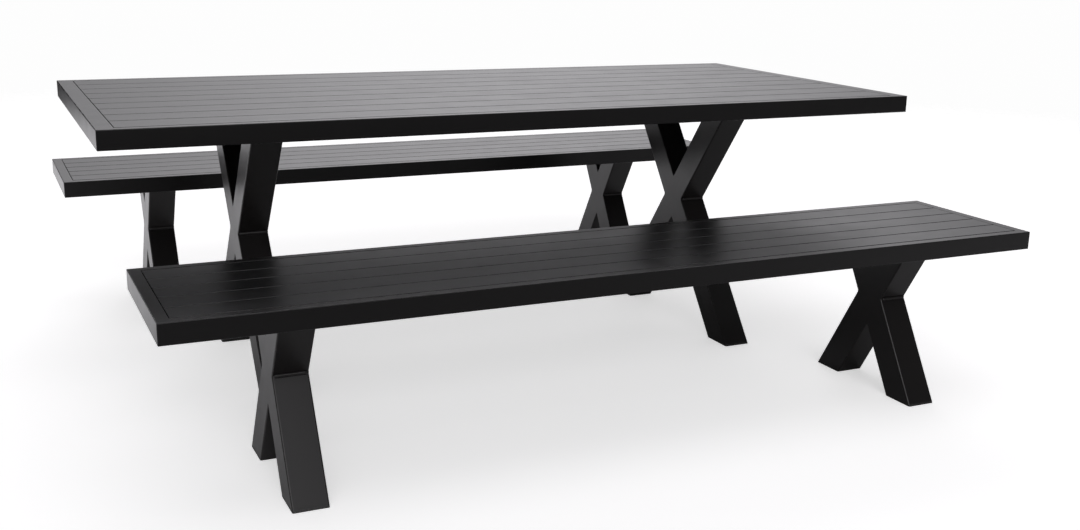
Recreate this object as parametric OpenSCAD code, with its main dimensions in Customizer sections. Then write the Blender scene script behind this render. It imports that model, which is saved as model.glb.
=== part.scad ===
// Outdoor picnic set: a slatted table on two X-shaped legs, with a matching bench along each side.
// Every frame, slat and leg is a hollow aluminium profile, powder-coated black.
// +X runs along the table, +Y towards the rear bench and +Z up. The origin lies on the ground, at the
// centre of the footprint of the whole set.

/* [Table] */
// Length of the table top
table_length = 2200; // [1800:10:2600]
// Width of the table top
table_width = 1000; // [800:10:1200]
// Height of the table top above the ground
table_height = 745; // [680:5:800]
// Width of the rail across each end of the table top
table_end_rail = 40; // [25:1:60]
// Distance from the end of the top to the outer face of a table leg
table_leg_inset = 380; // [300:5:460]
// Height at which the bars of a table leg cross
table_cross_height = 389; // [330:1:440]
// Distance from the long edge of the top to a table leg, where the leg meets the frame
table_leg_margin = 218; // [180:1:260]

/* [Benches] */
// Length of a bench
bench_length = 2200; // [1800:10:2600]
// Width of a bench seat
bench_width = 430; // [360:5:520]
// Height of a bench seat above the ground
bench_height = 445; // [400:5:500]
// Width of the rail across each end of a bench seat
bench_end_rail = 27; // [25:1:50]
// Distance from the end of a bench to the outer face of its leg
bench_leg_inset = 250; // [210:5:300]
// Height at which the bars of a bench leg cross
bench_cross_height = 251; // [210:1:290]
// Distance from the long edge of a seat to a bench leg, where the leg meets the frame
bench_leg_margin = 82; // [70:1:100]
// Distance from the centre line of the table to the centre line of a bench
bench_distance = 750; // [740:5:1000]
// How far the front bench stands to the right of the table and the rear bench
front_bench_offset = 40; // [0:5:60]

/* [Top frames] */
// Height of the frame around each top
frame_height = 46; // [38:1:60]
// Width of the long rails, seen as a lip beside the slats
side_rail = 25; // [20:1:40]
// Wall of the frame rails
rail_wall = 2.5; // [2:0.1:4]
// Rounding of the outer edges of the frame
rail_radius = 2; // [1:0.5:4]
// Radius of the drain holes under the rails
drain_radius = 4; // [2:0.5:6]
// Distance from the end of a rail to its drain hole
drain_inset = 70; // [50:5:150]

/* [Slats] */
// Height of a slat
slat_height = 20; // [15:1:24]
// Wall of a slat
slat_wall = 1.8; // [1.2:0.1:2.5]
// Bevel along the top edges of a slat
slat_bevel = 1.5; // [0.5:0.1:2]
// Open groove between two slats, and between the slats and the frame
groove = 2; // [1:0.5:5]

/* [Bearers] */
// Wall of the hat-shaped bearers below the slats
bearer_wall = 3; // [2:0.5:4]
// Width of the flange on each side of a bearer
bearer_flange = 20; // [16:1:30]
// Width of the web of the middle bearer
middle_bearer_web = 40; // [30:5:80]
// Width of the ledge below the slat ends
ledge_width = 28; // [20:1:40]
// Depth of the ledge against the end rail
ledge_depth = 18; // [12:1:22]
// Wall of the ledge
ledge_wall = 3; // [2:0.5:4]

/* [Legs] */
// Thickness of a leg tube in the plane of the X
leg_tube = 80; // [60:1:100]
// Breadth of a leg tube along the top
leg_breadth = 80; // [60:1:100]
// Wall of a leg tube
leg_wall = 3; // [2:0.5:5]
// Rounding of the long edges of a leg tube
leg_radius = 3.5; // [3.1:0.1:6]
// Radius of the weld beads where the bars of a leg cross
weld_radius = 5; // [1:0.1:8]
// Distance from the end of a weld bead to the rounded edge of its tube
weld_inset = 1.5; // [0.5:0.5:10]
// Thickness of the plate that bolts a leg to its bearer
leg_plate = 6; // [4:1:8]
// How far that plate reaches past the leg to the front and rear
leg_plate_overhang = 40; // [30:1:50]
// How far that plate reaches past the leg to the left and right
leg_plate_side = 10; // [5:1:20]
// Thickness of the foot caps below the tubes
foot_cap = 5; // [3:1:10]
// Depth of a foot cap's plug inside its tube
foot_plug = 18; // [10:1:40]
// Clearance between a plug and its tube
foot_plug_gap = 0.3; // [0.1:0.1:1]

/* [Fixings] */
// Radius of the leg bolts
bolt_radius = 4; // [3:1:5]
// Spacing of the leg bolts along the top
bolt_spacing = 60; // [40:1:70]
// Distance from the end of a leg plate to its outer bolts
bolt_edge = 18; // [14:1:22]
// Width across the flats of the bolt heads and nuts
bolt_flats = 13; // [10:1:17]
// Radius of the flange below a bolt head or nut
bolt_flange = 8.5; // [8:0.5:10]
// Height of a bolt head with its flange
bolt_head = 7; // [5:1:8]
// Height of a nut with its flange
nut_height = 8; // [6:1:9]
// Clearance of a bolt in its nut
thread_gap = 0.1; // [0.05:0.05:0.2]
// Clearance of a bolt or screw in its hole
hole_gap = 0.5; // [0.2:0.1:1]
// Radius of the slat screws
screw_radius = 2; // [1.5:0.1:3]
// Length of a slat screw below its head
screw_length = 12; // [8:1:16]
// Radius of a slat screw's head
screw_head = 4.2; // [3.5:0.1:6]
// Height of a slat screw's head
screw_head_height = 2.6; // [2:0.1:4]

/* [Hidden] */
table_slats = 9;
bench_slats = 5;
bolt_thread_past_nut = 2;
flange_height = 1.6;
cut = 1;
$fn = 48;

frame_black = "#1b1b1c";
slat_black = "#222223";
leg_black = "#19191a";
plastic_black = "#0b0b0b";
bearer_black = "#202021";
stainless = "#9a9c9e";

SIDES = ["left", "right"];
LONG_SIDES = ["front", "rear"];
BENCHES = ["front_bench", "rear_bench"];

function frame_nodes(unit, slats) = concat(
    [for (side = LONG_SIDES) str(unit, "_", side, "_rail")],
    [for (side = SIDES) str(unit, "_", side, "_end_rail")],
    [for (i = [1 : slats]) str(unit, "_slat_", i)],
    [for (part = ["bearers", "slat_ledges", "leg_plates", "foot_caps"]) str(unit, "_", part)],
    [for (side = SIDES, bar = ["long_bar", "short_bars"]) str(unit, "_", side, "_leg_", bar)]
);

// Sizes of the table or bench that is being drawn, read by all the modules below
module on_table() {
    $length = table_length;
    $width = table_width;
    $height = table_height;
    $end_rail = table_end_rail;
    $leg_inset = table_leg_inset;
    $leg_margin = table_leg_margin;
    $cross = table_cross_height;
    $slats = table_slats;
    translate([-front_bench_offset / 2, 0, 0]) children();
}

module on_bench(bench) {
    $length = bench_length;
    $width = bench_width;
    $height = bench_height;
    $end_rail = bench_end_rail;
    $leg_inset = bench_leg_inset;
    $leg_margin = bench_leg_margin;
    $cross = bench_cross_height;
    $slats = bench_slats;
    toward_front = bench == "front_bench" ? 1 : -1;
    translate([toward_front * front_bench_offset / 2, -toward_front * bench_distance, 0]) children();
}

// Levels, from the top down
function slat_bottom() = $height - slat_height;
function frame_bottom() = $height - frame_height;
function plate_top() = frame_bottom() + leg_plate;
function bearer_depth() = slat_bottom() - plate_top();
function frame_middle() = $height - frame_height / 2;

// Room between the long rails and between the end rails
function inner_width() = $width - 2 * side_rail;
function inner_length() = $length - 2 * $end_rail;
function slat_width() = (inner_width() - ($slats + 1) * groove) / $slats;
function slat_y(i) = -inner_width() / 2 + i * groove + (i - 0.5) * slat_width();

// Legs: how far a bar reaches to the front where it meets the frame, and its lean from the vertical
function leg_x(side) = side_sign(side) * ($length / 2 - $leg_inset - leg_breadth / 2);
function leg_reach() = $width / 2 - $leg_margin;
function leg_rise() = frame_bottom() - $cross;
function leg_lean() =
    acos(leg_tube / 2 / norm([leg_reach(), leg_rise()])) - atan2(leg_rise(), leg_reach());
function side_sign(side) = side == "left" || side == "front" ? -1 : 1;

// Bearers: [centre x, width of the web]
function leg_web() = leg_breadth + 2 * leg_plate_side;
function bearer_list() = [
    [leg_x("left"), leg_web()],
    [0, middle_bearer_web],
    [leg_x("right"), leg_web()]
];

// Leg bolts: their thread fills at most half of the room between a nut and the slats
function nut_room() = bearer_depth() - bearer_wall - nut_height;
function thread_past_nut() = min(bolt_thread_past_nut, nut_room() / 2);

// Places of the fixings: bolts as [x, y] about a leg, screw lines as x along the top
function bolt_rows() = leg_reach() + leg_plate_overhang - bolt_edge;
function bolt_places() = [for (x = [-0.5, 0.5], y = [-1, 0, 1]) [x * bolt_spacing, y * bolt_rows()]];
function flange_lines() = [
    for (b = bearer_list(), s = [-1, 1]) b[0] + s * (b[1] + bearer_flange) / 2
];
function ledge_lines() = [for (s = [-1, 1]) s * (inner_length() - ledge_width) / 2];

module rounded_rect(width, height, radius) {
    square([width - 2 * radius, height], center = true);
    square([width, height - 2 * radius], center = true);
    for (x = [-1, 1], y = [-1, 1])
        translate([x * (width / 2 - radius), y * (height / 2 - radius)])
            circle(r = radius);
}

// A rectangle from x = 0 to its width, with only the two corners at x = 0 rounded
module half_rounded_rect(width, height, radius) {
    intersection() {
        translate([width, 0])
            rounded_rect(2 * width, height, radius);
        translate([0, -height / 2])
            square([width, height]);
    }
}

module along_x(length) {
    rotate([90, 0, 90])
        linear_extrude(length, center = true)
            children();
}

module along_y(length) {
    rotate([90, 0, 0])
        linear_extrude(length, center = true)
            children();
}

module drain_holes(length, along) {
    for (s = [-1, 1])
        translate(along * s * (length / 2 - drain_inset) + [0, 0, -frame_height / 2 - cut])
            cylinder(h = rail_wall + 2 * cut, r = drain_radius);
}

// Long rail: an open tube between the end rails, which close it
module side_rail(side) {
    color(frame_black)
        translate([0, side_sign(side) * ($width - side_rail) / 2, frame_middle()])
            difference() {
                along_x(inner_length())
                    rounded_rect(side_rail, frame_height, rail_radius);
                along_x(inner_length() + 2 * cut)
                    square([side_rail - 2 * rail_wall, frame_height - 2 * rail_wall], center = true);
                drain_holes(inner_length(), [1, 0, 0]);
            }
}

// End rail: a tube across the whole width with closed, rounded ends
module end_rail(side) {
    color(frame_black)
        translate([side_sign(side) * $length / 2, 0, frame_middle()])
            mirror([side == "left" ? 0 : 1, 0, 0])
                difference() {
                    intersection() {
                        along_y($width)
                            half_rounded_rect($end_rail, frame_height, rail_radius);
                        along_x(2 * $end_rail + 2 * cut)
                            rounded_rect($width, frame_height, rail_radius);
                        linear_extrude(frame_height + 2 * cut, center = true)
                            half_rounded_rect($end_rail, $width, rail_radius);
                    }
                    translate([$end_rail / 2, 0, 0])
                        cube([
                            $end_rail - 2 * rail_wall,
                            $width - 2 * rail_wall,
                            frame_height - 2 * rail_wall
                        ], center = true);
                    translate([$end_rail / 2, 0, 0])
                        drain_holes($width, [0, 1, 0]);
                }
}

// Slat: a hollow plank with bevelled top edges and two ribs inside
module slat_profile(width) {
    half = width / 2;
    chamber = (width - 4 * slat_wall) / 3;
    difference() {
        polygon([
            [-half, 0],
            [half, 0],
            [half, slat_height - slat_bevel],
            [half - slat_bevel, slat_height],
            [-half + slat_bevel, slat_height],
            [-half, slat_height - slat_bevel]
        ]);
        for (i = [-1, 0, 1])
            translate([i * (chamber + slat_wall) - chamber / 2, slat_wall])
                square([chamber, slat_height - 2 * slat_wall]);
    }
}

module slat(i) {
    color(slat_black)
        translate([0, slat_y(i), slat_bottom()])
            difference() {
                along_x(inner_length() - 2 * groove)
                    slat_profile(slat_width());
                for (x = concat(flange_lines(), ledge_lines()))
                    translate([x, 0, -cut])
                        cylinder(h = slat_wall + 1.5 * cut, r = screw_radius + hole_gap / 2);
            }
}

// Bearers: hat profiles across the frame, with flanges against the slats
module bearer_profile(web) {
    depth = bearer_depth();
    translate([-web / 2, -depth])
        square([web, bearer_wall]);
    for (s = [0, 1]) mirror([s, 0]) {
        translate([web / 2 - bearer_wall, -depth])
            square([bearer_wall, depth]);
        translate([web / 2 - bearer_wall, -bearer_wall])
            square([bearer_flange + bearer_wall, bearer_wall]);
    }
}

module bearers() {
    color(bearer_black)
        difference() {
            for (b = bearer_list())
                translate([b[0], 0, slat_bottom()])
                    along_y(inner_width())
                        bearer_profile(b[1]);
            for (side = SIDES, place = bolt_places())
                translate([leg_x(side) + place[0], place[1], plate_top() - cut])
                    cylinder(h = bearer_wall + 2 * cut, r = bolt_radius + hole_gap);
            for (x = flange_lines(), i = [1 : $slats])
                translate([x, slat_y(i), slat_bottom() - bearer_wall - cut])
                    cylinder(h = bearer_wall + 2 * cut, r = screw_radius + hole_gap);
        }
}

// Angles welded inside the end rails, which carry the slat ends
module slat_ledges() {
    color(bearer_black)
        for (s = [-1, 1])
            difference() {
                union() {
                    translate([s * (inner_length() - ledge_width) / 2, 0, slat_bottom() - ledge_wall / 2])
                        cube([ledge_width, inner_width(), ledge_wall], center = true);
                    translate([s * (inner_length() - ledge_wall) / 2, 0, slat_bottom() - ledge_depth / 2])
                        cube([ledge_wall, inner_width(), ledge_depth], center = true);
                }
                for (i = [1 : $slats])
                    translate([s * ledge_lines()[1], slat_y(i), slat_bottom() - ledge_wall - cut])
                        cylinder(h = ledge_wall + 2 * cut, r = screw_radius + hole_gap);
            }
}

module leg_plates() {
    color(leg_black)
        for (side = SIDES)
            translate([leg_x(side), 0, frame_bottom()])
                difference() {
                    translate([0, 0, leg_plate / 2])
                        cube([leg_web(), 2 * (leg_reach() + leg_plate_overhang), leg_plate], center = true);
                    for (place = bolt_places())
                        translate([place[0], place[1], -cut])
                            cylinder(h = leg_plate + 2 * cut, r = bolt_radius + hole_gap);
                }
}

// One bar of an X through the crossing point, its walls moved inwards by inset
module bar(lean, inset = 0) {
    translate([0, 0, $cross])
        rotate([lean, 0, 0])
            linear_extrude(4 * $height, center = true)
                rounded_rect(
                    leg_breadth - 2 * inset,
                    leg_tube - 2 * inset,
                    leg_radius - min(inset, leg_wall)
                );
}

// The same bar with sharp edges, wider than its tube by twice the clearance
module bar_block(lean, clearance = 0) {
    translate([0, 0, $cross])
        rotate([lean, 0, 0])
            cube([leg_breadth + 2 * clearance, leg_tube, 4 * $height], center = true);
}

module between_levels(low, high) {
    intersection() {
        children();
        translate([-leg_breadth, -2 * $height, low])
            cube([2 * leg_breadth, 4 * $height, high - low]);
    }
}

module weld_beads() {
    lean = leg_lean();
    across = leg_tube / 2 / cos(lean);
    above = leg_tube / 2 / sin(lean);
    for (place = [[-across, 0], [across, 0], [0, -above], [0, above]])
        translate([0, place[0], $cross + place[1]])
            rotate([0, 90, 0])
                cylinder(
                    h = leg_breadth - 2 * (leg_radius + weld_inset),
                    r = weld_radius,
                    center = true
                );
}

// Long bar: runs from the rear foot through the crossing to the front of the leg plate. Its edges are
// sharp inside the crossing, where the welds at the sides are ground flush with the short bars.
module leg_long_bar(side) {
    color(leg_black)
        translate([leg_x(side), 0, 0])
            between_levels(foot_cap, frame_bottom())
                difference() {
                    union() {
                        bar(leg_lean());
                        intersection() {
                            bar_block(leg_lean());
                            bar_block(-leg_lean());
                        }
                    }
                    bar(leg_lean(), leg_wall);
                }
}

// Short bars: the two halves of the other diagonal, welded against the long bar
module leg_short_bars(side) {
    color(leg_black)
        translate([leg_x(side), 0, 0])
            between_levels(foot_cap, frame_bottom())
                difference() {
                    union() {
                        bar(-leg_lean());
                        weld_beads();
                    }
                    bar(-leg_lean(), leg_wall);
                    bar_block(leg_lean(), cut);
                }
}

// Foot caps: a pad below each tube with a plug inside it
module foot_caps() {
    color(plastic_black)
        for (side = SIDES, way = [-1, 1])
            translate([leg_x(side), 0, 0])
                union() {
                    between_levels(0, foot_cap)
                        bar(way * leg_lean());
                    between_levels(0, foot_cap + foot_plug)
                        bar(way * leg_lean(), leg_wall + foot_plug_gap);
                }
}

module hexagon(height) {
    cylinder(h = height, r = bolt_flats / 2 / cos(30), $fn = 6);
}

// Flange bolt from below through the plate and the bearer, with a flange nut inside the bearer
module leg_bolt() {
    clamped = leg_plate + bearer_wall;
    translate([0, 0, -bolt_head])
        hexagon(bolt_head);
    translate([0, 0, -flange_height])
        cylinder(h = flange_height, r = bolt_flange);
    cylinder(h = clamped + nut_height + thread_past_nut(), r = bolt_radius);
    translate([0, 0, clamped])
        difference() {
            union() {
                hexagon(nut_height);
                cylinder(h = flange_height, r = bolt_flange);
            }
            translate([0, 0, -cut])
                cylinder(h = nut_height + 2 * cut, r = bolt_radius + thread_gap);
        }
}

module leg_bolts() {
    color(stainless)
        for (side = SIDES, place = bolt_places())
            translate([leg_x(side) + place[0], place[1], frame_bottom()])
                leg_bolt();
}

module slat_screw(grip) {
    translate([0, 0, -grip - screw_head_height])
        cylinder(h = screw_head_height, r = screw_head);
    translate([0, 0, -grip])
        cylinder(h = screw_length, r = screw_radius);
}

module slat_screws() {
    color(stainless)
        for (i = [1 : $slats])
            translate([0, slat_y(i), slat_bottom()]) {
                for (x = flange_lines())
                    translate([x, 0, 0])
                        slat_screw(bearer_wall);
                for (x = ledge_lines())
                    translate([x, 0, 0])
                        slat_screw(ledge_wall);
            }
}

// The pieces that the table and the benches share
module frame_pieces(unit) {
    for (side = LONG_SIDES)
        side_rail(side);
    for (side = SIDES)
        end_rail(side);
    for (i = [1 : $slats])
        slat(i);
    bearers();
    slat_ledges();
    leg_plates();
    foot_caps();
    for (side = SIDES)
        leg_long_bar(side);
    for (side = SIDES)
        leg_short_bars(side);
}

on_table() {
    frame_pieces("table");
    leg_bolts();  // table_leg_bolts
    slat_screws();  // table_slat_screws
}

for (bench = BENCHES)
    on_bench(bench) {
        frame_pieces(bench);
        leg_bolts();
        slat_screws();
    }
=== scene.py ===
# Picnic set in black powder-coated aluminium: a slatted table and a bench along each side.
import math
import random

import bmesh
import bpy
from mathutils import Matrix, Vector


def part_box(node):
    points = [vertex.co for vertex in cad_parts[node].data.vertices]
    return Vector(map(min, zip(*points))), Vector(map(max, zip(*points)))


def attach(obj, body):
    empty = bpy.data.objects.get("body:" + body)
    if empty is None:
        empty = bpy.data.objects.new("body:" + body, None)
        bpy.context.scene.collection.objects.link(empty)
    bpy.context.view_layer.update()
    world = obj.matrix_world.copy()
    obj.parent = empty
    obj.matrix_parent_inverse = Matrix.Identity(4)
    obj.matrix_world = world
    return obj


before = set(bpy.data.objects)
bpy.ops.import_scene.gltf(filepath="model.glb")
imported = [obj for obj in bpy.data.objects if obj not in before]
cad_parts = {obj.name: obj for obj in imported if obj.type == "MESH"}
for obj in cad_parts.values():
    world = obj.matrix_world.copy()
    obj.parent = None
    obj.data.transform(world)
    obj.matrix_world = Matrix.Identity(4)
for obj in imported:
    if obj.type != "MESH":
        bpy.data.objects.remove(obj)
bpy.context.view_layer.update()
scene = bpy.context.scene
scene.view_settings.view_transform = "Standard"
scene.view_settings.look = "None"
print("frame loaded:", len(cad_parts), "pieces")


class Wire:
    # a node's output, on which Python's operators add Math nodes
    def __init__(self, graph, socket):
        self.graph, self.socket = graph, socket

    def __add__(self, other):
        return self.graph.math("ADD", self, other)

    def __radd__(self, other):
        return self.graph.math("ADD", other, self)

    def __sub__(self, other):
        return self.graph.math("SUBTRACT", self, other)

    def __rsub__(self, other):
        return self.graph.math("SUBTRACT", other, self)

    def __mul__(self, other):
        return self.graph.math("MULTIPLY", self, other)

    def __rmul__(self, other):
        return self.graph.math("MULTIPLY", other, self)

    def __truediv__(self, other):
        return self.graph.math("DIVIDE", self, other)

    def __abs__(self):
        return self.graph.math("ABSOLUTE", self)


class Graph:
    # the nodes of one material or of the world
    def __init__(self, owner):
        owner.use_nodes = True
        self.tree = owner.node_tree
        self.tree.nodes.clear()

    def node(self, kind, settings=None, inputs=None, output=0):
        made = self.tree.nodes.new(kind)
        for name, value in (settings or {}).items():
            setattr(made, name, value)
        for name, value in (inputs or {}).items():
            if isinstance(value, Wire):
                self.tree.links.new(value.socket, made.inputs[name])
            else:
                made.inputs[name].default_value = value
        return Wire(self, made.outputs[output]) if made.outputs else None

    def math(self, operation, *values):
        return self.node("ShaderNodeMath", {"operation": operation}, dict(enumerate(values)))

    def largest(self, first, *others):
        for other in others:
            first = self.math("MAXIMUM", first, other)
        return first

    def place(self):
        return self.node("ShaderNodeTexCoord", output="Object")

    def facing(self):
        return self.node("ShaderNodeTexCoord", output="Normal")

    def part(self, vector, axis):
        return self.node("ShaderNodeSeparateXYZ", None, {"Vector": vector}, output=axis)

    def along(self, vector, direction):
        inputs = {0: vector, 1: direction}
        return self.node("ShaderNodeVectorMath", {"operation": "DOT_PRODUCT"}, inputs, output="Value")

    def noise(self, place, size, detail=2, roughness=0.5, stretch=(1, 1, 1)):
        scaled = self.node("ShaderNodeMapping", None, {"Vector": place, "Scale": stretch})
        inputs = {"Vector": scaled, "Scale": 1 / size, "Detail": detail, "Roughness": roughness}
        return self.node("ShaderNodeTexNoise", None, inputs)

    def ease(self, value, low, high, toLow=0, toHigh=1):
        settings = {"interpolation_type": "SMOOTHSTEP"}
        inputs = {"Value": value, "From Min": low, "From Max": high, "To Min": toLow, "To Max": toHigh}
        return self.node("ShaderNodeMapRange", settings, inputs)

    def mixColour(self, factor, first, second):
        settings = {"data_type": "RGBA", "clamp_factor": True}
        return self.node("ShaderNodeMix", settings, {0: factor, 6: first, 7: second}, output=2)

    def bump(self, height, distance, below=None):
        inputs = {"Height": height, "Distance": distance}
        if below:
            inputs["Normal"] = below
        return self.node("ShaderNodeBump", None, inputs)

    def surface(self, inputs):
        shader = self.node("ShaderNodeBsdfPrincipled", None, inputs)
        self.node("ShaderNodeOutputMaterial", None, {"Surface": shader})


# Camera

camera = {
    "place": (-1.3814, -3.2833, 1.1513),
    "heading": 25.248,  # degrees to the right of straight ahead
    "tilt": -14.559,
    "roll": 1.14,
    "lens": 41.515,
}


def addCamera():
    data = bpy.data.cameras.new("camera")
    data.lens, data.sensor_width = camera["lens"], 36
    data.clip_start, data.clip_end = 0.05, 60
    placed = bpy.data.objects.new("camera", data)
    scene.collection.objects.link(placed)
    scene.camera = placed
    turned = (
        Matrix.Rotation(math.radians(-camera["heading"]), 4, "Z")
        @ Matrix.Rotation(math.radians(90 + camera["tilt"]), 4, "X")
        @ Matrix.Rotation(math.radians(camera["roll"]), 4, "Z")
    )
    placed.matrix_world = Matrix.Translation(camera["place"]) @ turned


addCamera()
print("camera placed")


# Studio: pale floor to the camera, pale backdrop and soft light from all round; to all other rays the floor
# shows a painted gradient of light and shade

studio = {
    "floorColour": (1, 1, 0.99),
    "floorLift": (0.53, 0.53, 0.53),  # glow of the paper floor, to the camera only
    "floorRadius": 7,
    "floorFade": 2.5,
    "floorFar": 0.03,  # painted shade of the floor as the coat sees it: far in front of the set
    "floorNear": 0.38,  # painted light added to it near the set, to its right, behind it and to its left
    "floorRight": 0.36,
    "floorBehind": 0.95,
    "floorLeft": 0.75,
    "nearSpan": (-3.8, -1.9),  # where each of those comes in, in metres
    "rightSpan": (-0.3, 3),
    "behindSpan": (-0.3, 1.8),
    "leftSpan": (0, -1),
    "leftDepth": (-1.6, -0.7),
    "backdrop": 0.985,
    "skyColour": (0.985, 0.97, 1),
}


def addFloor():
    mesh = bmesh.new()
    bmesh.ops.create_circle(mesh, cap_ends=True, segments=96, radius=studio["floorRadius"])
    data = bpy.data.meshes.new("floor")
    mesh.to_mesh(data)
    mesh.free()
    floor = bpy.data.objects.new("floor", data)
    scene.collection.objects.link(floor)
    material = bpy.data.materials.new("paperFloor")
    graph = Graph(material)
    place = graph.place()
    reach = graph.node("ShaderNodeVectorMath", {"operation": "LENGTH"}, {0: place}, output="Value")
    edge = studio["floorRadius"]
    shown = graph.ease(reach, edge - studio["floorFade"], edge, 1, 0)
    seen = graph.node("ShaderNodeLightPath", output="Is Camera Ray")
    depth, across = graph.part(place, "Y"), graph.part(place, "X")
    near = studio["floorNear"] * graph.ease(depth, *studio["nearSpan"])
    right = studio["floorRight"] * graph.ease(across, *studio["rightSpan"])
    behind = studio["floorBehind"] * graph.ease(depth, *studio["behindSpan"])
    left = studio["floorLeft"] * graph.ease(across, *studio["leftSpan"])
    left = left * graph.ease(depth, *studio["leftDepth"])
    # the floor's colour to all but the camera is painted light and shade: darkest far in front of the set,
    # lighter near it and to its right, brightest behind it and to its left
    paintedFloorShade = studio["floorFar"] + near + right + behind + left
    paintedFloorGrey = graph.node("ShaderNodeCombineColor", None, {"Red": paintedFloorShade, "Green": paintedFloorShade, "Blue": paintedFloorShade})
    graph.surface({
        "Base Color": graph.mixColour(seen, paintedFloorGrey, (*studio["floorColour"], 1)),
        "Roughness": 0.9,
        "Specular IOR Level": 0,
        "Emission Color": graph.mixColour(seen, (0, 0, 0, 1), (*studio["floorLift"], 1)),
        "Emission Strength": 1,
        "Alpha": shown,
    })
    data.materials.append(material)


# Each soft patch of the sky dome: where it is round the compass and how wide, in degrees
# (0 behind the set, 90 to its right, a width of 180 all round), the heights at which it starts and
# stops, and how strong it is.
skyPatches = {
    "backWall": {"azimuth": 26, "width": 30, "start": -90, "stop": 14, "strength": 0.92},
    "otherWalls": {"azimuth": 206, "width": 130, "start": -90, "stop": 14, "strength": 0.22},
    "backWindow": {"azimuth": 0, "width": 38, "start": 14, "stop": 46, "strength": 1.7},
    "rightWindow": {"azimuth": 35, "width": 38, "start": 14, "stop": 46, "strength": 1.45},
    "rightWall": {"azimuth": 110, "width": 38, "start": 14, "stop": 46, "strength": 0.24},
    "frontWindow": {"azimuth": 190, "width": 38, "start": 14, "stop": 46, "strength": 3.2},
    "leftWall": {"azimuth": 230, "width": 38, "start": 14, "stop": 46, "strength": 0.6},
    "rightSky": {"azimuth": 90, "width": 90, "start": 46, "stop": 72, "strength": 0.5},
    "leftSky": {"azimuth": 270, "width": 90, "start": 46, "stop": 72, "strength": 0.7},
    "overhead": {"azimuth": 0, "width": 180, "start": 72, "stop": 90, "strength": 1.4},
}
patchEdge = 0.06


def skyPatch(graph, direction, patch):
    turn = math.radians(patch["azimuth"])
    ahead = graph.along(direction, (math.sin(turn), math.cos(turn), 0))
    aside = graph.along(direction, (math.cos(turn), -math.sin(turn), 0))
    angle = abs(graph.math("ARCTAN2", aside, ahead))
    reach = graph.math("MINIMUM", angle / math.radians(patch["width"]), 1)
    fall = graph.math("COSINE", reach * (math.pi / 2)) if patch["width"] < 180 else 1
    height = graph.part(direction, "Z")
    start, stop = math.sin(math.radians(patch["start"])), math.sin(math.radians(patch["stop"]))
    low = graph.ease(height, start - patchEdge, start + patchEdge)
    high = graph.ease(height, stop - patchEdge, stop + patchEdge, 1, 0)
    return patch["strength"] * fall * fall * low * high


def addWorld():
    world = bpy.data.worlds.new("studio")
    scene.world = world
    graph = Graph(world)
    direction = graph.node("ShaderNodeTexCoord", output="Generated")
    light = sum(skyPatch(graph, direction, patch) for patch in skyPatches.values())
    seen = graph.node("ShaderNodeLightPath", output="Is Camera Ray")
    tint = graph.mixColour(seen, (*studio["skyColour"], 1), (1, 1, 1, 1))
    strength = seen * studio["backdrop"] + (1 - seen) * light
    background = graph.node("ShaderNodeBackground", None, {"Color": tint, "Strength": strength})
    graph.node("ShaderNodeOutputWorld", None, {"Surface": background})


addFloor()
addWorld()
print("studio built")


# Powder coat: a satin black with a fine orange peel, cloudy in gloss, a little dust on what faces
# up, and paler, smoother edges: partly rubbed by hands and shoes, partly a painted highlight on every
# rounded edge

# each coat's paler edge colour is partly rubbed wear and partly a painted highlight along every rounded
# edge
coats = {
    "frameCoat": {
        "colour": (0.0056, 0.005, 0.005),
        "edgeRubAndPaintedHighlight": (0.022, 0.022, 0.023),
        "dusty": (0.011, 0.011, 0.011),
        "roughness": 0.3,
        "peel": 0.0022,
        "peelDepth": 0.000006,
    },
    "slatCoat": {
        "colour": (0.005, 0.005, 0.0056),
        "edgeRubAndPaintedHighlight": (0.028, 0.028, 0.03),
        "dusty": (0.012, 0.012, 0.012),
        "roughness": 0.3,
        "peel": 0.002,
        "peelDepth": 0.000005,
    },
    "legCoat": {
        "colour": (0.0068, 0.0056, 0.0054),
        "edgeRubAndPaintedHighlight": (0.024, 0.023, 0.022),
        "dusty": (0.012, 0.0115, 0.011),
        "roughness": 0.32,
        "peel": 0.0023,
        "peelDepth": 0.000007,
    },
}


# Sizes of the patterns in the coat, and how far each one moves its gloss
wearAndHighlight = {
    "rubAndHighlightPatch": 0.07,
    "speckle": 0.004,
    "dustDrift": 0.11,
    "streak": 0.05,
    "streakStretch": (0.06, 1, 1),
    "streakGloss": 0.05,
    "driftGloss": 0.025,
    "dustGloss": 0.02,
    "rubGloss": 0.06,
    "edgeStart": 0.995,  # how square to a face a normal still is where its rounded edge starts
    "edgeFull": 0.93,
}


def roundedEdge(graph, leans):
    # 1 on the rounded edges, whose normal is square to none of the faces
    facing = graph.facing()
    squares = [abs(graph.along(facing, axis)) for axis in ((1, 0, 0), (0, 1, 0), (0, 0, 1))]
    for lean in leans:
        sine, cosine = math.sin(math.radians(lean)), math.cos(math.radians(lean))
        squares += [abs(graph.along(facing, axis)) for axis in ((0, cosine, sine), (0, -sine, cosine))]
    return graph.ease(graph.largest(*squares), wearAndHighlight["edgeStart"], wearAndHighlight["edgeFull"])


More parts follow.
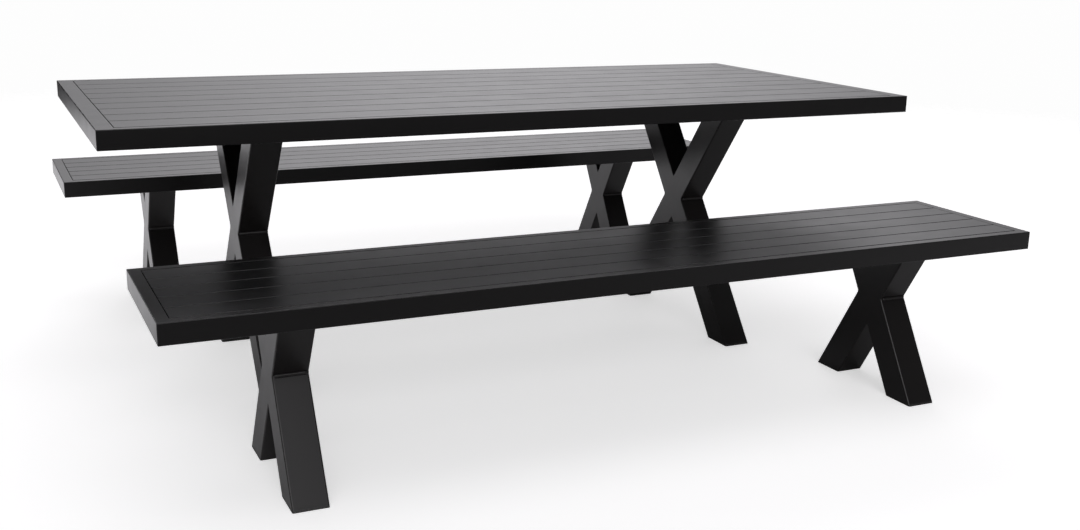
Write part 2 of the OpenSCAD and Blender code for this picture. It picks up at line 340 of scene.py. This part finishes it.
def powderCoat(name, coat, leans=()):
    material = bpy.data.materials.new(name)
    graph = Graph(material)
    place = graph.place()
    edge = roundedEdge(graph, leans)
    patchy = graph.ease(graph.noise(place, wearAndHighlight["rubAndHighlightPatch"], 4, 0.6), 0.42, 0.62)
    speckle = graph.ease(graph.noise(place, wearAndHighlight["speckle"], 3, 0.7), 0.35, 0.65)
    # paler edges: partly rubbed wear, partly a painted highlight on every rounded edge, broken up by
    # patches and speckle
    edgeRubAndPaintedHighlight = edge * (0.25 + 0.75 * patchy) * (0.5 + 0.5 * speckle)
    upward = graph.ease(graph.part(graph.facing(), "Z"), 0.85, 0.98)
    drift = graph.ease(graph.noise(place, wearAndHighlight["dustDrift"], 5, 0.62), 0.36, 0.7)
    dust = upward * drift * (0.35 + 0.65 * speckle)
    streak = graph.noise(place, wearAndHighlight["streak"], 3, 0.6, wearAndHighlight["streakStretch"])
    peel = graph.noise(place, coat["peel"], 2, 0.45)
    grain = graph.noise(place, coat["peel"] / 4, 1)
    peeled = graph.bump(peel, coat["peelDepth"])
    dusted = graph.mixColour(dust, (*coat["colour"], 1), (*coat["dusty"], 1))
    rough = coat["roughness"] + wearAndHighlight["streakGloss"] * (streak - 0.5)
    rough = rough + wearAndHighlight["driftGloss"] * (drift - 0.5) + wearAndHighlight["dustGloss"] * dust
    graph.surface({
        "Base Color": graph.mixColour(edgeRubAndPaintedHighlight, dusted, (*coat["edgeRubAndPaintedHighlight"], 1)),
        "Roughness": rough - wearAndHighlight["rubGloss"] * edgeRubAndPaintedHighlight,
        "Normal": graph.bump(grain, coat["peelDepth"] / 8, peeled),
    })
    return material


# Feet: moulded nylon caps, scuffed where they stand and drag

foot = {
    "colour": (0.009, 0.009, 0.009),
    "scuffed": (0.07, 0.068, 0.064),
    "roughness": 0.5,
    "scuffHeight": 0.007,
    "scratch": 0.006,
    "scratchStretch": (1, 0.35, 3),
    "texture": 0.0007,
    "textureDepth": 0.00006,
}


def footPlastic():
    material = bpy.data.materials.new("footPlastic")
    graph = Graph(material)
    place = graph.place()
    height = graph.part(place, "Z")
    scratches = graph.noise(place, foot["scratch"], 4, 0.7, foot["scratchStretch"])
    scuff = graph.ease(height, foot["scuffHeight"], 0) * graph.ease(scratches, 0.45, 0.6)
    texture = graph.noise(place, foot["texture"], 2, 0.6)
    graph.surface({
        "Base Color": graph.mixColour(scuff, (*foot["colour"], 1), (*foot["scuffed"], 1)),
        "Roughness": foot["roughness"] + 0.1 * (scratches - 0.5) + 0.15 * scuff,
        "Normal": graph.bump(texture + scratches * 0.5, foot["textureDepth"]),
    })
    return material


# Fixings: brushed stainless steel, a little stained by weather

steel = {
    "bright": (0.6, 0.6, 0.6),
    "stained": (0.33, 0.29, 0.25),
    "roughness": 0.28,
    "brush": 0.0006,
    "brushStretch": (0.08, 1, 1),
    "brushDepth": 0.00002,
    "stain": 0.008,
}


def stainlessSteel():
    material = bpy.data.materials.new("stainlessSteel")
    graph = Graph(material)
    place = graph.place()
    brushed = graph.noise(place, steel["brush"], 3, 0.6, steel["brushStretch"])
    stain = graph.ease(graph.noise(place, steel["stain"], 4, 0.65), 0.5, 0.72)
    graph.surface({
        "Base Color": graph.mixColour(stain, (*steel["bright"], 1), (*steel["stained"], 1)),
        "Metallic": 1 - 0.25 * stain,
        "Roughness": steel["roughness"] + 0.12 * (brushed - 0.5) + 0.18 * stain,
        "Normal": graph.bump(brushed, steel["brushDepth"]),
    })
    return material


# Legs: each is an X of square tube, and the benches' lean less than the table's

legs = {
    "tube": 0.08,
    "sides": ("left", "right"),
    "units": {
        "table": {"crossing": 0.389, "lean": 36.815},
        "front_bench": {"crossing": 0.251, "lean": 30.347},
        "rear_bench": {"crossing": 0.251, "lean": 30.347},
    },
}


def legCoat(unit):
    lean = legs["units"][unit]["lean"]
    return powderCoat(f"legCoat_{unit}", coats["legCoat"], (lean, -lean))


finishes = {
    "frame_coat": powderCoat("frameCoat", coats["frameCoat"]),
    "slat_coat": powderCoat("slatCoat", coats["slatCoat"]),
    "foot_plastic": footPlastic(),
    "stainless": stainlessSteel(),
}
legFinishes = {unit: legCoat(unit) for unit in legs["units"]}

for name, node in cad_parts.items():
    for slot in node.material_slots:
        finish = slot.material.name.split(".")[0]
        if finish == "leg_coat":
            slot.material = next(made for unit, made in legFinishes.items() if name.startswith(unit))
        else:
            slot.material = finishes[finish]
print("finishes made")


# Weld beads in the four creases of each X, laid in overlapping crescents and coated over

bead = {
    "radius": 0.0056,
    "length": 0.0715,
    "crescents": 22,
    "ripple": 0.00045,
    "lag": 0.0017,  # how far the middle of a crescent trails behind its sides
    "taper": 0.004,
    "rings": 5,  # rings of faces along a crescent
    "segments": 20,
    "flat": 0.55,  # how deep the hidden half sits, of its radius
    "spread": 0.03,  # how much one crescent's size differs from the next
}


def crescentRadius(along, size):
    # a bead's radius at a distance from its start, with a step down at the end of each crescent
    pitch = bead["length"] / bead["crescents"]
    step = along / pitch % 1
    hump = math.sin(math.pi * (0.15 + 0.85 * step)) ** 0.5
    ends = min(1, along / bead["taper"], (bead["length"] - along) / bead["taper"])
    rounding = 0.55 + 0.45 * math.sin(math.pi / 2 * max(0, ends))
    return (size - bead["ripple"] * (1 - hump)) * rounding


def layBead(mesh, middle, outward, chance):
    ring = bmesh.ops.create_circle(mesh, cap_ends=True, segments=bead["segments"], radius=bead["radius"])
    edges = list({edge for vert in ring["verts"] for edge in vert.link_edges})
    turned = Matrix((outward.cross((1, 0, 0)), outward, (1, 0, 0))).transposed().to_4x4()
    count = bead["crescents"] * bead["rings"]
    laid = [ring["verts"]]
    for _ in range(count):
        grown = bmesh.ops.extrude_edge_only(mesh, edges=edges)["geom"]
        edges = [item for item in grown if isinstance(item, bmesh.types.BMEdge)]
        edges = [edge for edge in edges if all(vert in grown for vert in edge.verts)]
        laid.append([item for item in grown if isinstance(item, bmesh.types.BMVert)])
    bmesh.ops.contextual_create(mesh, geom=edges)
    size = bead["radius"]
    for index, verts in enumerate(laid):
        along = bead["length"] * index / count
        if index % bead["rings"] == 0:
            size = bead["radius"] * chance.uniform(1 - bead["spread"], 1 + bead["spread"])
        for vert in verts:
            aside, out = vert.co.x / bead["radius"], vert.co.y / bead["radius"]
            radius = crescentRadius(along, size)
            inside = bead["flat"] if out < 0 else 1
            trail = bead["lag"] * max(0, out) * math.sin(math.pi * index / count) ** 0.3
            offset = along - trail - bead["length"] / 2
            vert.co = Vector((aside * radius, out * radius * inside, offset))
        bmesh.ops.transform(mesh, matrix=Matrix.Translation(middle) @ turned, verts=verts)


def weldLeg(unit, side, chance):
    lean = math.radians(legs["units"][unit]["lean"])
    low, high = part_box(f"{unit}_{side}_leg_long_bar")
    feetLow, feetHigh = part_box(f"{unit}_foot_caps")
    crossing = Vector(((low.x + high.x) / 2, (feetLow.y + feetHigh.y) / 2, legs["units"][unit]["crossing"]))
    across, above = legs["tube"] / 2 / math.cos(lean), legs["tube"] / 2 / math.sin(lean)
    mesh = bmesh.new()
    for offset in ((0, -across, 0), (0, across, 0), (0, 0, -above), (0, 0, above)):
        crease = Vector(offset)
        layBead(mesh, crossing + crease, crease.normalized(), chance)
    bmesh.ops.recalc_face_normals(mesh, faces=mesh.faces)
    for face in mesh.faces:
        face.smooth = True
    name = f"{unit}_{side}_leg_welds"
    data = bpy.data.meshes.new(name)
    mesh.to_mesh(data)
    mesh.free()
    piece = bpy.data.objects.new(name, data)
    scene.collection.objects.link(piece)
    data.materials.append(legFinishes[unit])
    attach(piece, unit)


chance = random.Random(12)
for unit in legs["units"]:
    for side in legs["sides"]:
        weldLeg(unit, side, chance)
print("welds laid")
